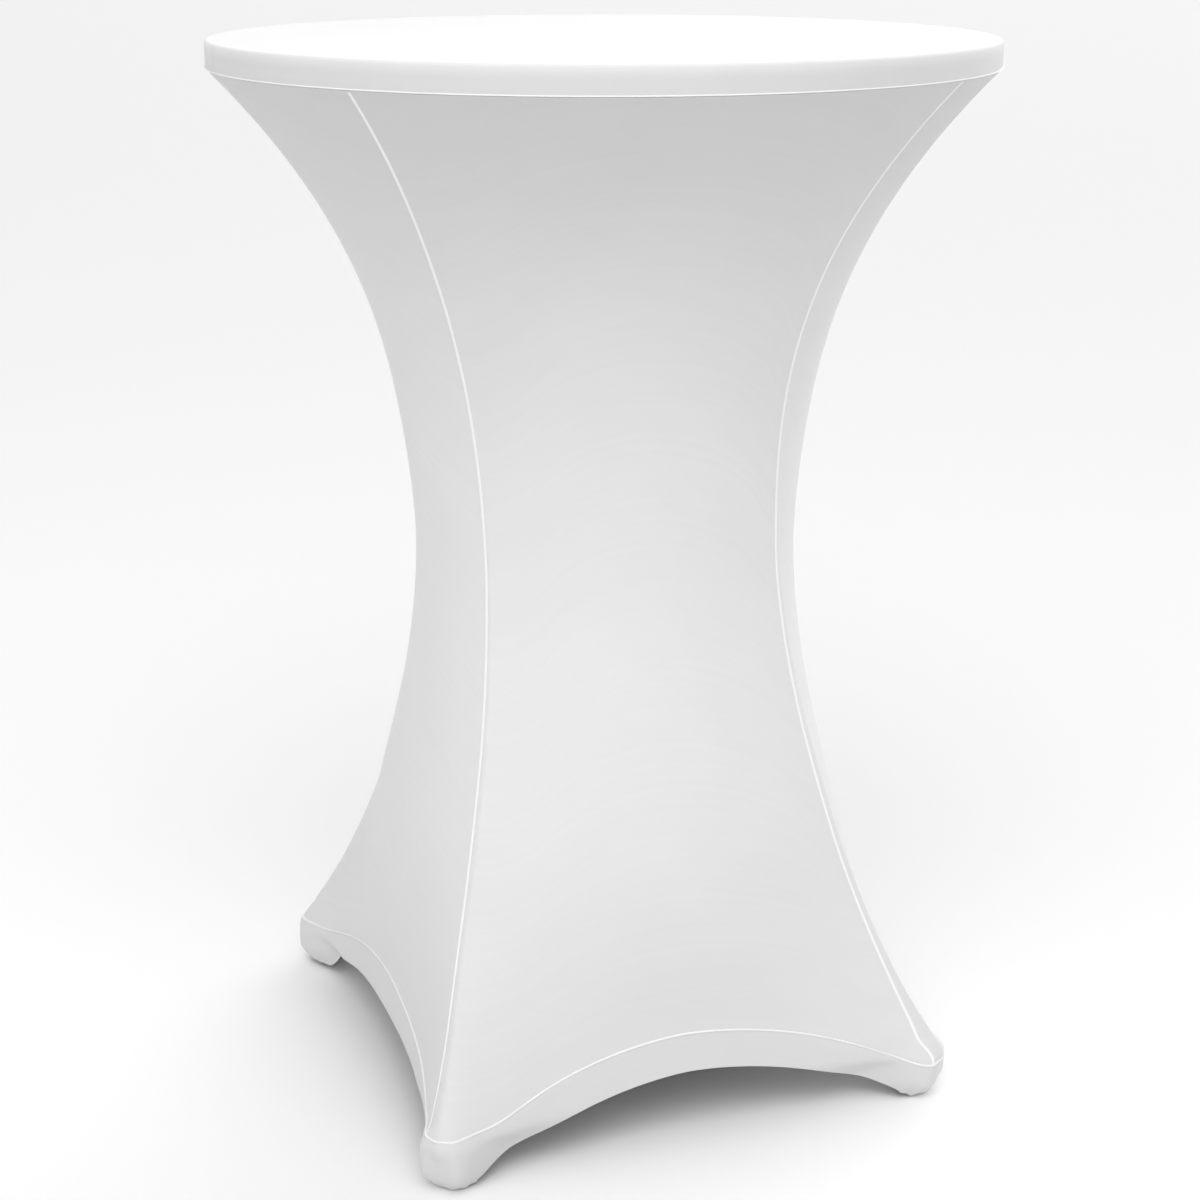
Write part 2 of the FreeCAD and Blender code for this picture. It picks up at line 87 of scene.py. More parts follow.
# Above a foot the ridge starts as blunt as the arm's end and sharpens: by height, how far the
# flare overshoots the corner before the blunt ridge caps it.
BLUNTNESS = ((.020, .0290), (.050, .0290), (.060, .0290), (.070, .0270), (.080, .0245),
             (.100, .0190), (.130, .0130), (.170, .0090), (.220, .0060), (.300, .0030), (.400, .0))
RIDGE_POWER = 40.0
BLUNT_HEIGHTS = (0.250, 0.400)  # the blunt cap fades out between these heights
# How far out the blunt ridge stands, against the corner's own distance.
RIDGE_REACH = ((.050, 1.030), (.075, 1.032), (.095, 1.026), (.130, 1.020), (.200, 1.018))
HEM_REACH = 0.250               # panel's half width that the hem curves are scaled to
# Middle height, drop to the corner and curve of the stitched line, then of the free edge.
HEM_CURVES = {"front": (0.1080, 0.068, 1.75, 0.0683, 0.0652, 1.74),
              "right": (0.1055, 0.066, 1.75, 0.0665, 0.0620, 1.80),
              "back": (0.1040, 0.063, 1.75, 0.0650, 0.0600, 1.90),
              "left": (0.0980, 0.055, 1.75, 0.0605, 0.0500, 2.40)}
CLOTH = 0.0010
HEM_CLOTH = 0.0018
HEM_STEP = 0.0009               # the folded hem stands this much prouder than the panel
POCKET_CLOTH = 0.0011
# The cloth round an arm's end, by height: its half width, then how far out its tip is. It
# narrows to the glide below, and above the arm it gathers into the corner seam.
POCKET_WIDTH = ((.0015, .0160), (.004, .0178), (.010, .0208), (.018, .0232), (.028, .0240),
                (.042, .0240), (.048, .0232), (.052, .0215), (.056, .0190), (.062, .0140),
                (.072, .0050), (.088, .0002))
POCKET_REACH = ((.0015, .3782), (.004, .3800), (.010, .3850), (.018, .3900), (.028, .3920),
                (.042, .3920), (.048, .3912), (.052, .3895), (.056, .3865), (.062, .3805),
                (.072, .3600), (.088, .3200))
POCKET_FADE = (0.066, 0.090)    # the pocket's shape fades out between these heights
POCKET_SPREAD, POCKET_FRONT = 0.22, 0.391   # the pocket widens inwards from this distance out
# The hem line passes over each foot at about this height.
FOOT_LINES = {"front_right": 0.0420, "back_right": 0.0500,
              "back_left": 0.0540, "front_left": 0.0580}
# Height of each pocket's lower edge. One pocket has ridden up a little on its glide.
MOUTHS = dict.fromkeys(CORNERS, sole_top + 0.0004)
MOUTHS["back_left"] = 0.0075
NOSE_POWER = ((.002, 24.0), (.022, 42.0))   # roundness of the nose by height
NOSE_MERGE = 60.0                           # and of the valley beside it
# Sideways distance where each panel's free edge starts to drop to its left and right feet.
HEM_DROPS = {"front": (0.218, 0.223), "right": (0.210, 0.205), "back": (0.205, 0.210),
             "left": (0.188, 0.208)}
HEM_DROP_WIDTH = 0.038
POCKET_STARTS = 0.222           # sideways distance where the hem turns into the pocket


def smooth_through(knots, z):
    """Values at heights z of a smooth curve through (height, value) knots."""
    x = np.array([k[0] for k in knots])
    y = np.array([k[1] for k in knots], float)
    last = len(x) - 1
    low, high = np.maximum(np.arange(last + 1) - 1, 0), np.minimum(np.arange(last + 1) + 1, last)
    slope = (y[high] - y[low]) / (x[high] - x[low])
    z = np.clip(z, x[0], x[-1])
    i = np.clip(np.searchsorted(x, z, side="right") - 1, 0, last - 1)
    span = x[i + 1] - x[i]
    t = (z - x[i]) / span
    return ((1 + 2 * t) * (1 - t) ** 2 * y[i] + t * (1 - t) ** 2 * span * slope[i]
            + t * t * (3 - 2 * t) * y[i + 1] - t * t * (1 - t) * span * slope[i + 1])


def ease(value, start, end):
    t = np.clip((value - start) / (end - start), 0, 1)
    return t * t * (3 - 2 * t)


def seam_radius(z):
    up = np.clip((z - WAIST_HEIGHT) / (skirt_top - WAIST_HEIGHT), 0, 1) ** UPPER_CURVE
    down = np.clip((WAIST_HEIGHT - z) / (WAIST_HEIGHT - FOOT_HEIGHT), 0, 1.02) ** LOWER_CURVE
    return (WAIST_RADIUS + (rim_radius - SKIRT_INSET - WAIST_RADIUS) * up
            + (FOOT_RADIUS - WAIST_RADIUS) * down)


def cover_radius(across, z):
    """Distance from the middle of the cover's outer face. across is in degrees from the middle
    of a panel; the ridges are at 45."""
    across = np.abs(across)
    across = np.where(across > 45.0, 90.0 - across, across)
    off = np.radians(45.0 - across)
    corner = seam_radius(z)
    flat = np.radians(smooth_through(FLATNESS, z))
    middle = corner * np.cos(flat)
    flat = np.minimum(flat, math.pi / 4)
    share = across / 45.0
    gather = corner + smooth_through(BLUNTNESS, z) - middle / np.cos(flat)
    gather = gather * ease(z, *FLARE_HEIGHTS)
    radius = middle / np.cos(flat * share) + gather * share ** FLARE_POWER
    blunt = smooth_through(RIDGE_REACH, z) * corner / np.cos(off)
    capped = (radius ** -RIDGE_POWER + blunt ** -RIDGE_POWER) ** (-1 / RIDGE_POWER)
    radius = radius + (capped - radius) * (1 - ease(z, *BLUNT_HEIGHTS))
    # the end of the arm pushes the cloth out into a pocket
    side_wall = ((smooth_through(POCKET_WIDTH, z) + POCKET_SPREAD * POCKET_FRONT)
                 / (np.sin(off) + POCKET_SPREAD * np.cos(off)))
    end_wall = smooth_through(POCKET_REACH, z) / np.cos(off)
    power = smooth_through(NOSE_POWER, z)
    foot = (side_wall ** -power + end_wall ** -power) ** (-1 / power)
    foot = foot * (1 - ease(z, *POCKET_FADE))
    return (radius ** NOSE_MERGE + foot ** NOSE_MERGE) ** (1 / NOSE_MERGE)


# Columns of the cover share a panel's width evenly at every height, so that they follow the
# cloth: a table of the angle of each column at each height.
LEVELS = np.concatenate([np.arange(0, 0.12, 0.0005), np.arange(0.12, 1.08, 0.004)])
SHARES = np.linspace(-1, 1, 361)
FINE_ANGLES = np.linspace(-45.0, 45.0, 3000)


def column_table():
    rows = []
    for z in LEVELS:
        across = FINE_ANGLES + smooth_through(SEAM_SHIFT, z)
        r = cover_radius(across, np.full(across.shape, z))
        x, y = r * np.cos(np.radians(across)), r * np.sin(np.radians(across))
        run = np.concatenate([[0], np.cumsum(np.hypot(np.diff(x), np.diff(y)))])
        rows.append(np.interp((SHARES + 1) / 2 * run[-1], run, across))
    return np.array(rows)


COLUMNS = column_table()


def across_of(share, z):
    """Angle across the panel of a column (share -1 to 1) at height z."""
    i = np.clip(np.interp(z, LEVELS, np.arange(len(LEVELS))), 0, len(LEVELS) - 1.001)
    j = np.clip((share + 1) / 2 * (len(SHARES) - 1), 0, len(SHARES) - 1)
    i0, j0 = i.astype(int), np.minimum(j.astype(int), len(SHARES) - 2)
    fi, fj = i - i0, j - j0
    return ((1 - fi) * (1 - fj) * COLUMNS[i0, j0] + fi * (1 - fj) * COLUMNS[i0 + 1, j0]
            + (1 - fi) * fj * COLUMNS[i0, j0 + 1] + fi * fj * COLUMNS[i0 + 1, j0 + 1])


def cover(share, z):
    """Outer face of the front panel, which faces -Y, at column shares and heights."""
    share, z = np.broadcast_arrays(np.asarray(share, float), np.asarray(z, float))
    across = across_of(share, z)
    radius = cover_radius(across, z)
    angle = np.radians(-90.0 + across + smooth_through(TWIST, z))
    return np.stack([radius * np.cos(angle), radius * np.sin(angle), z], -1)


def line_heights(share, curve, side):
    """Height at each column of a line given by its height at a sideways distance, found by
    stepping half way to it again and again."""
    z = np.full(share.shape, 0.07)
    for _ in range(25):
        across = across_of(share, z)
        sideways = np.abs(cover_radius(across, z) * np.sin(np.radians(across)))
        z = 0.5 * z + 0.5 * curve(sideways, side, share)
    return z


def at_feet(levels, side, share):
    """The level of the foot at the right or left end of a panel, by the sign of the share."""
    number = SIDES.index(side)
    return np.where(share > 0, levels[CORNERS[number]], levels[CORNERS[number - 1]])


def hem_line(sideways, side, share):
    rise, drop, curve = HEM_CURVES[side][:3]
    arch = rise - drop * (sideways / HEM_REACH) ** curve
    level = at_feet(FOOT_LINES, side, share)
    power = 14.0
    return (np.maximum(arch, 0.001) ** power + level ** power) ** (1 / power)


def hem_edge(sideways, side, share):
    rise, drop, curve = HEM_CURVES[side][3:]
    arch = rise - drop * (sideways / HEM_REACH) ** curve
    mouth = at_feet(MOUTHS, side, share)
    left_end, right_end = HEM_DROPS[side]
    start = np.where(share > 0, right_end, left_end)
    arch = arch + (mouth - arch) * ease(sideways, start, start + HEM_DROP_WIDTH)
    return np.maximum(arch, mouth)


# ---- mesh helpers ------------------------------------------------------------------------
def turned(points, degrees):
    a = math.radians(degrees)
    x, y = points[..., 0], points[..., 1]
    return np.stack([x * math.cos(a) - y * math.sin(a), x * math.sin(a) + y * math.cos(a),
                     points[..., 2]], -1)


def unit(v):
    return v / np.maximum(np.linalg.norm(v, axis=-1, keepdims=True), 1e-12)


def grid_normals(grid):
    """Normals of a grid whose first axis runs across and second axis runs up."""
    across = np.gradient(grid, axis=0)
    up = np.gradient(grid, axis=1)
    return unit(np.cross(across, up))


def make_object(name, vertices, faces, material, uv=None):
    mesh = bpy.data.meshes.new(name)
    mesh.from_pydata(np.asarray(vertices).reshape(-1, 3).tolist(), [], faces)
    mesh.validate()
    mesh.polygons.foreach_set("use_smooth", [True] * len(mesh.polygons))
    mesh.set_sharp_from_angle(angle=math.radians(50))
    if uv is not None:
        layer = mesh.uv_layers.new(name="cloth")
        corner = np.empty(len(mesh.loops), int)
        mesh.loops.foreach_get("vertex_index", corner)
        layer.data.foreach_set("uv", np.asarray(uv, np.float32).reshape(-1, 2)[corner].ravel())
    mesh.materials.append(material)
    obj = bpy.data.objects.new(name, mesh)
    bpy.context.scene.collection.objects.link(obj)
    return obj


def quads(nu, nv, base=0, flip=False):
    i, j = np.meshgrid(np.arange(nu - 1), np.arange(nv - 1), indexing="ij")
    a = (base + i * nv + j).ravel()
    faces = np.stack([a, a + nv, a + nv + 1, a + 1], 1)
    return faces[:, ::-1].tolist() if flip else faces.tolist()


def sheet_mesh(name, outer, thickness, material, uv=None):
    """Closed sheet: a grid of points for its outer face, and the same moved in."""
    nu, nv = outer.shape[:2]
    inner = outer - grid_normals(outer) * thickness
    count = nu * nv
    faces = quads(nu, nv) + quads(nu, nv, count, flip=True)
    for i in range(nu - 1):
        a, b = i * nv, (i + 1) * nv
        faces.append([a, a + count, b + count, b])
        a, b = a + nv - 1, b + nv - 1
        faces.append([b, b + count, a + count, a])
    for j in range(nv - 1):
        faces.append([j + 1, j + 1 + count, j + count, j])
        a = (nu - 1) * nv + j
        faces.append([a, a + count, a + 1 + count, a + 1])
    if uv is not None:
        uv = np.concatenate([uv.reshape(-1, 2), uv.reshape(-1, 2)])
    points = np.concatenate([outer.reshape(-1, 3), inner.reshape(-1, 3)])
    return make_object(name, points, faces, material, uv=uv)


def run_length(grid, axis):
    """Distance along a grid's lines, from their start."""
    steps = np.linalg.norm(np.diff(grid, axis=axis), axis=-1)
    return np.concatenate([np.zeros_like(np.take(steps, [0], axis)), np.cumsum(steps, axis)], axis)


def cloth_uv(grid):
    """Coordinates in metres along the cloth, for the knit."""
    across = run_length(grid, 0)
    across = across - across[len(grid) // 2][None, :]
    up = run_length(grid, 1)
    return np.stack([across, up], -1)


def finished(obj, body, slot, *nodes):
    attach(obj, body)
    if nodes:
        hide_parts(*nodes)
    return obj


# ---- materials ---------------------------------------------------------------------------
class Nodes:
    """Small helper that adds and links shader nodes of one material."""

    def __init__(self, name):
        self.material = bpy.data.materials.new(name)
        self.material.use_nodes = True
        self.tree = self.material.node_tree
        self.shader = self.tree.nodes["Principled BSDF"]

    def add(self, kind, **settings):
        node = self.tree.nodes.new("ShaderNode" + kind)
        for key, value in settings.items():
            setattr(node, key, value)
        return node

    def link(self, source, target):
        self.tree.links.new(source, target)

    def math(self, operation, a, b=None):
        node = self.add("Math", operation=operation)
        for socket, value in zip(node.inputs, (a, b)):
            if value is None:
                continue
            if isinstance(value, (int, float)):
                socket.default_value = value
            else:
                self.link(value, socket)
        return node.outputs[0]

    def noise(self, vector, scale, detail=3.0, rough=0.5):
        node = self.add("TexNoise")
        node.inputs["Scale"].default_value = scale
        node.inputs["Detail"].default_value = detail
        node.inputs["Roughness"].default_value = rough
        self.link(vector, node.inputs["Vector"])
        return node.outputs["Fac"]

    def mapped(self, vector, scale):
        node = self.add("Mapping")
        node.inputs["Scale"].default_value = scale
        self.link(vector, node.inputs["Vector"])
        return node.outputs["Vector"]

    def ramp(self, factor, stops):
        node = self.add("ValToRGB")
        elements = node.color_ramp.elements
        elements[0].position, elements[0].color = stops[0][0], (*stops[0][1], 1)
        elements[1].position, elements[1].color = stops[-1][0], (*stops[-1][1], 1)
        for place, colour in stops[1:-1]:
            elements.new(place).color = (*colour, 1)
        self.link(factor, node.inputs["Fac"])
        return node.outputs["Color"]

    def bump(self, height, strength, distance, below=None):
        node = self.add("Bump")
        node.inputs["Strength"].default_value = strength
        node.inputs["Distance"].default_value = distance
        self.link(height, node.inputs["Height"])
        if below is not None:
            self.link(below, node.inputs["Normal"])
        return node.outputs["Normal"]

    def set(self, **values):
        for key, value in values.items():
            self.shader.inputs[key.replace("_", " ")].default_value = value


def grey(value):
    return (value, value, value)


# Painted shade: the knit's colour is darkened round the rim and towards the feet, where the cover
# lies in shade: a tone by share of the whole height, on the skirt and on the top piece.
SKIRT_PAINTED_SHADE = ((0.02, grey(0.92)), (0.20, grey(0.95)), (0.44, grey(1.0)), (0.63, grey(0.985)),
               (0.78, grey(0.93)), (0.90, grey(0.84)), (0.97, grey(0.81)))
TOP_PAINTED_SHADE = ((0.97, grey(0.86)), (0.990, grey(0.86)), (0.998, grey(1.0)))


def knit_material(name, tone, wale=0.0011, course=0.0008, depth=0.00012, painted_shade=None):
    """Fine warp knit: rows of V-shaped stitches, faint bars across and a soft sheen, with painted
    shade by height when it is given.
    """
    n = Nodes(name)
    place = n.add("UVMap", uv_map="cloth").outputs["UV"]
    split = n.add("SeparateXYZ")
    n.link(place, split.inputs[0])
    u = n.math("DIVIDE", split.outputs["X"], wale)
    v = n.math("DIVIDE", split.outputs["Y"], course)
    column = n.math("PINGPONG", u, 0.5)                     # 0 at a wale's edge, 0.5 in its middle
    slant = n.math("ADD", v, n.math("MULTIPLY", column, 1.2))
    stitch = n.math("SINE", n.math("MULTIPLY", slant, 2 * math.pi))
    wale_round = n.math("SINE", n.math("MULTIPLY", column, math.pi))
    height = n.math("MULTIPLY", n.math("ADD", n.math("MULTIPLY", stitch, 0.5), 1.0), wale_round)
    bars = n.noise(n.mapped(place, (2.0, 160.0, 1.0)), 1.0, detail=4.0)
    cloud = n.noise(n.mapped(place, (9.0, 9.0, 1.0)), 1.0, detail=2.0)
    shade = n.math("ADD", n.math("MULTIPLY", bars, 0.55), n.math("MULTIPLY", cloud, 0.45))
    tone_and_painted_shade = n.ramp(shade, ((0.25, grey(tone - 0.022)), (0.75, grey(tone + 0.012))))
    # painted shade: the colour is darkened by height, round the rim and towards the feet
    if painted_shade:
        level = n.add("SeparateXYZ")
        n.link(n.add("TexCoord").outputs["Object"], level.inputs[0])
        painted_shade_tone = n.ramp(n.math("DIVIDE", level.outputs["Z"], cap_high.z), painted_shade)
        tone_and_painted_shade = n.math("MULTIPLY", tone_and_painted_shade, painted_shade_tone)
    n.link(tone_and_painted_shade, n.shader.inputs["Base Color"])
    rough = n.add("MapRange")
    rough.inputs["To Min"].default_value = 0.62
    rough.inputs["To Max"].default_value = 0.76
    n.link(cloud, rough.inputs["Value"])
    n.link(rough.outputs[0], n.shader.inputs["Roughness"])
    bars_bump = n.bump(bars, 0.12, 0.0004)
    n.link(n.bump(height, 0.45, depth, bars_bump), n.shader.inputs["Normal"])
    n.set(Sheen_Weight=0.25, Sheen_Roughness=0.45, Specular_IOR_Level=0.3)
    return n.material


def thread_material(name, tone):
    """Twisted polyester thread."""
    n = Nodes(name)
    place = n.add("TexCoord").outputs["Object"]
    fuzz = n.noise(place, 2400.0, detail=2.0)
    n.link(n.ramp(fuzz, ((0.3, grey(tone - 0.05)), (0.7, grey(tone)))),
           n.shader.inputs["Base Color"])
    n.link(n.bump(fuzz, 0.3, 0.0001), n.shader.inputs["Normal"])
    n.set(Roughness=0.5, Sheen_Weight=0.2, Specular_IOR_Level=0.4)
    return n.material


def moulded_material(name, dark, light, rough, grain=900.0, metal=0.0, bump=0.15):
    """Plastic, powder coat, casting or plating, by its tones, grain and roughness."""
    n = Nodes(name)
    place = n.add("TexCoord").outputs["Object"]
    fine = n.noise(place, grain, detail=4.0)
    wide = n.noise(place, 14.0, detail=3.0)
    n.link(n.ramp(wide, ((0.3, dark), (0.7, light))), n.shader.inputs["Base Color"])
    spread = n.add("MapRange")
    spread.inputs["To Min"].default_value = rough - 0.08
    spread.inputs["To Max"].default_value = rough + 0.10
    n.link(wide, spread.inputs["Value"])
    n.link(spread.outputs[0], n.shader.inputs["Roughness"])
    n.link(n.bump(fine, bump, 0.0002), n.shader.inputs["Normal"])
    n.set(Metallic=metal)
    return n.material


def board_material():
    """Melamine-faced particle board: pale faces with a faint streaked grain."""
    n = Nodes("laminated_board")
    place = n.add("TexCoord").outputs["Object"]
    fibre = n.noise(n.mapped(place, (18.0, 260.0, 260.0)), 1.0, detail=6.0, rough=0.6)
    n.link(n.ramp(fibre, ((0.3, (0.78, 0.77, 0.73)), (0.7, (0.86, 0.85, 0.82)))),
           n.shader.inputs["Base Color"])
    n.link(n.bump(n.noise(place, 1500.0), 0.1, 0.0001), n.shader.inputs["Normal"])
    n.set(Roughness=0.45)
    return n.material


# the skirt, top and hem knits carry painted shade by height
knit = knit_material("stretch_knit", 0.74, painted_shade=SKIRT_PAINTED_SHADE)
top_knit = knit_material("top_knit", 0.74, painted_shade=TOP_PAINTED_SHADE)
hem_knit = knit_material("hem_knit", 0.71, painted_shade=SKIRT_PAINTED_SHADE)
sole_knit = knit_material("sole_cloth", 0.66, wale=0.0014, course=0.0011, depth=0.0002)
thread = thread_material("seam_thread", 0.86)
table_materials = {
    "laminated_board": board_material(),
    "edge_plastic": moulded_material("edge_plastic", (.74, .73, .70), (.82, .81, .78), 0.4),
    "cast_iron_black": moulded_material("cast_iron_black", grey(.035), grey(.06), 0.6, 420,
                                        bump=0.5),
    "coated_steel": moulded_material("coated_steel", grey(.045), grey(.065), 0.5, 1400, bump=0.35),
    "zinc_steel": moulded_material("zinc_steel", (.50, .51, .52), (.70, .71, .72), 0.32, 700,
                                   metal=1.0),
    "cap_plastic": moulded_material("cap_plastic", grey(.03), grey(.05), 0.45, 800, bump=0.25),
    "glide_nylon": moulded_material("glide_nylon", grey(.10), grey(.14), 0.5, 600, bump=0.2),
}


# ---- the skirt ---------------------------------------------------------------------------
PANEL_COLUMNS, PANEL_ROWS, HEM_ROWS = 150, 150, 12
WRINKLE_DEPTH, GATHER_DEPTH, GATHER_PITCH = 0.00022, 0.0009, 0.0135


def column_shares():
    """Shares across a panel, closer together over the foot pockets."""
    t = np.linspace(-1, 1, PANEL_COLUMNS + 1)
    return np.sign(t) * (1 - (1 - np.abs(t)) ** 1.25)


def crumple(pocket):
    """Small soft wrinkles over a pocket and gathers round its mouth, fading out at its ends.
    The wrinkles are crossed waves, with phases that keep them from looking regular."""
    normals = grid_normals(pocket)
    x, y, z = pocket[..., 0], pocket[..., 1], pocket[..., 2]
    wave = (np.sin(190 * x + 70 * z + 2.1 * np.sin(90 * y))
            + np.sin(160 * y - 120 * z + 1.7 * np.sin(110 * x + 1.0))
            + 0.6 * np.sin(310 * z + 60 * (x - y) + 0.5)) * WRINKLE_DEPTH
    around = run_length(pocket, 0)
    folds = np.sin(2 * math.pi * around / GATHER_PITCH + 1.4 * np.sin(around * 70))
    gather = folds * GATHER_DEPTH * (1 - ease(z, 0.003, 0.020))
    end = np.minimum(around, around[-1] - around)
    return pocket + normals * ((wave + gather) * ease(end, 0.0, 0.020))[..., None]


def panel_grid(side):
    """Outer face of a panel, as if it were the front one, from its hem line to the rim, with
    rows closer together near the hem."""
    foot = line_heights(shares, hem_line, side)
    t = np.linspace(0, 1, PANEL_ROWS + 1)
    t = t ** 1.5 * 0.9 + 0.1 * t
    z = foot[:, None] + (skirt_top - foot[:, None]) * t[None, :]
    return cover(shares[:, None], z)


def hem_grid(side):
    """Outer face of a panel's hem, stepped out except along its stitched upper edge."""
    top = line_heights(shares, hem_line, side)
    low = line_heights(shares, hem_edge, side)
    t = np.linspace(0, 1, HEM_ROWS + 1)
    grid = cover(shares[:, None], low[:, None] + (top - low)[:, None] * t[None, :])
    step = np.full(HEM_ROWS + 1, HEM_STEP)
    step[-1] = 0.0001
    return grid + grid_normals(grid) * step[None, :, None]


shares = column_shares()
hem_grids = {side: hem_grid(side) for side in SIDES}
sideways = np.abs(hem_grids["front"][:, 0, 0])
left_end = max(i for i in range(PANEL_COLUMNS // 2) if sideways[i] > POCKET_STARTS)
right_end = min(i for i in range(PANEL_COLUMNS // 2, len(shares)) if sideways[i] > POCKET_STARTS)

panels, hems = {}, {}
for number, side in enumerate(SIDES):
    turn = 90.0 * number
    panel = panel_grid(side)
    obj = sheet_mesh("cloth_" + side, turned(panel, turn), CLOTH, knit, uv=cloth_uv(panel))
    panels[side] = finished(obj, TABLE, "stretch_knit", "side_panel_" + side)
    band = hem_grids[side][left_end:right_end + 1]
    obj = sheet_mesh("hem_" + side, turned(band, turn), HEM_CLOTH, hem_knit, uv=cloth_uv(band))
    hems[side] = finished(obj, TABLE, "stretch_knit", "hem_band_" + side)

for number, corner in enumerate(CORNERS):
    ahead, beyond = SIDES[number], SIDES[(number + 1) % 4]
    pocket = np.concatenate([hem_grids[ahead][right_end:],
                             turned(hem_grids[beyond][:left_end + 1], 90.0)[1:]])
    obj = sheet_mesh("pocket_" + corner, turned(crumple(pocket), 90.0 * number), POCKET_CLOTH,
                     hem_knit, uv=cloth_uv(pocket))
    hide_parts("foot_pocket_" + corner)
    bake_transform(obj)


# ---- the top -----------------------------------------------------------------------------
def spun(outline, count):
    """Points and faces of a closed outline of (radius, height) points turned about Z."""
    outline = np.array(outline)
    angle = np.linspace(0, 2 * math.pi, count, endpoint=False)
    r, z = outline[:, 0], outline[:, 1]
    points = np.stack([np.cos(angle)[:, None] * r, np.sin(angle)[:, None] * r,
                       np.broadcast_to(z, (count, len(z)))], -1)
    n = len(outline)
    faces = []
    for i in range(count):
        k = (i + 1) % count
        for j in range(n):
            m = (j + 1) % n
            faces.append([i * n + j, k * n + j, k * n + m, i * n + m])
    return points, faces


def arc(cx, cz, radius, start, end, count):
    a = np.radians(np.linspace(start, end, count))
    return [(cx + radius * math.cos(t), cz + radius * math.sin(t)) for t in a]


def cover_top():
    count, inner = 256, board_top + 0.0001
    r, top = rim_radius, rim_high
    edge = 0.003
    outside = [(r, rim_low + s * (top - edge - rim_low)) for s in np.linspace(0, 1, 9)]
    outside += arc(r - edge, top - edge, edge, 12, 90, 7)
    outside += [(r * s, top) for s in (0.985, 0.96, 0.9, 0.8, 0.65, 0.5, 0.35, 0.2, 0.1, 0.04)]
    inside = [(r * s, inner) for s in (0.04, 0.2, 0.5, 0.8, 0.96)]
    inside += arc(r - edge, top - edge, edge - CLOTH, 90, 0, 5)
    inside += [(r - CLOTH, rim_low)]
    outline = outside + inside
    points, faces = spun(outline, count)
    n = len(outline)
    points = points.reshape(-1, 3)
    top_ring = [i * n + len(outside) - 1 for i in range(count)]
    under_ring = [i * n + len(outside) for i in range(count)]
    faces = [f for f in faces if not (set(f) <= set(top_ring) | set(under_ring))]
    faces.append(top_ring)
    faces.append(under_ring[::-1])
    uv = points[:, :2].copy()
    rim = points[:, 2] < top - 0.5 * edge
    angle = np.arctan2(points[:, 1], points[:, 0])
    uv[rim] = np.stack([angle[rim] * rim_radius, points[rim, 2]], -1)
    return make_object("cloth_top", points, faces, top_knit, uv=uv)


top_panel = finished(cover_top(), TABLE, "stretch_knit", "cover_top_panel")


def rim_seam():
    bead = 0.0007
    outline = arc(rim_radius + bead * 0.4, rim_low + bead, bead, 0, 315, 8)
    points, faces = spun(outline, 360)
    return make_object("rim_piping", points, faces, thread)


finished(rim_seam(), TABLE, "seam_thread", "cover_rim_seam")


# ---- seams and stitches ------------------------------------------------------------------
SEAM_HALF_WIDTH, SEAM_HEIGHT, SEAM_CLOTH = 0.0018, 0.0012, 0.0004
SEAM_ROWS = 260
HALF_PANEL = 0.785              # a panel's half width, against the distance of its corner
# Each raised line of thread, by the share of its half width and of its height.
SEAM_BULGE = ((-1, 0.0), (-.7, .45), (-.3, .8), (0, .9), (.3, .8), (.7, .45), (1, 0.0))
RIB_BULGE = ((-1, 0.0), (-.7, .5), (-.25, .9), (.25, .9), (.7, .5), (1, 0.0))
RIB_HALF_WIDTH, RIB_HEIGHT = 0.0011, 0.0014
STITCH_PITCH, STITCH_LENGTH, STITCH_RADIUS = 0.0042, 0.0033, 0.00036
OFF_CLOTH = 0.0001              # air that keeps the threads off the cloth


def corner_seam_grid(corner):
    """Outer face of the raised seam at a panel's right end, from its foot up to the rim."""
    z = np.linspace(FOOT_LINES[corner] + 0.001, skirt_top - 0.001, SEAM_ROWS)
    rows = []
    for offset, lift in SEAM_BULGE:
        aside = offset * SEAM_HALF_WIDTH / (HALF_PANEL * seam_radius(z))
        points = cover(1 + aside, z) if offset <= 0 else turned(cover(-1 + aside, z), 90.0)
        out = unit(points * np.array([1, 1, 0]))
        rows.append(points + out * (OFF_CLOTH + lift * SEAM_HEIGHT))
    return np.stack(rows)


for number, corner in enumerate(CORNERS):
    obj = sheet_mesh("seam_" + corner, turned(corner_seam_grid(corner), 90.0 * number), SEAM_CLOTH,
                     thread)
    finished(obj, TABLE, "seam_thread", "corner_seam_" + corner)


def stitch_shape(length, radius):
    """One stitch of thread lying along X, a little humped, as points and faces."""
    along = (-0.5, -0.36, 0.0, 0.36, 0.5)
    size = (0.35, 1.0, 1.0, 1.0, 0.35)
    sides = 6
    points = []
    for a, s in zip(along, size):
        for k in range(sides):
            t = 2 * math.pi * k / sides
            points.append((a * length, s * radius * math.cos(t), s * radius * math.sin(t)))
    faces = []
    for ring in range(len(along) - 1):
        for k in range(sides):
            a, b = ring * sides + k, ring * sides + (k + 1) % sides
            faces.append((a, b, b + sides, a + sides))
    faces.append(tuple(range(sides))[::-1])
    faces.append(tuple(range((len(along) - 1) * sides, len(along) * sides)))
    return np.array(points), faces


def stitches(name, centres, along, normal, length, radius):
    """Many stitches at once, each with its own place and direction."""
    points, faces = stitch_shape(length, radius)
    along, normal = unit(along), unit(normal)
    side = unit(np.cross(normal, along))
    placed = (centres[:, None, :] + points[None, :, 0:1] * along[:, None, :]
              + points[None, :, 1:2] * side[:, None, :] + points[None, :, 2:3] * normal[:, None, :])
    count = len(points)
    all_faces = [tuple(v + i * count for v in f) for i in range(len(centres)) for f in faces]
    return make_object(name, placed, all_faces, thread)


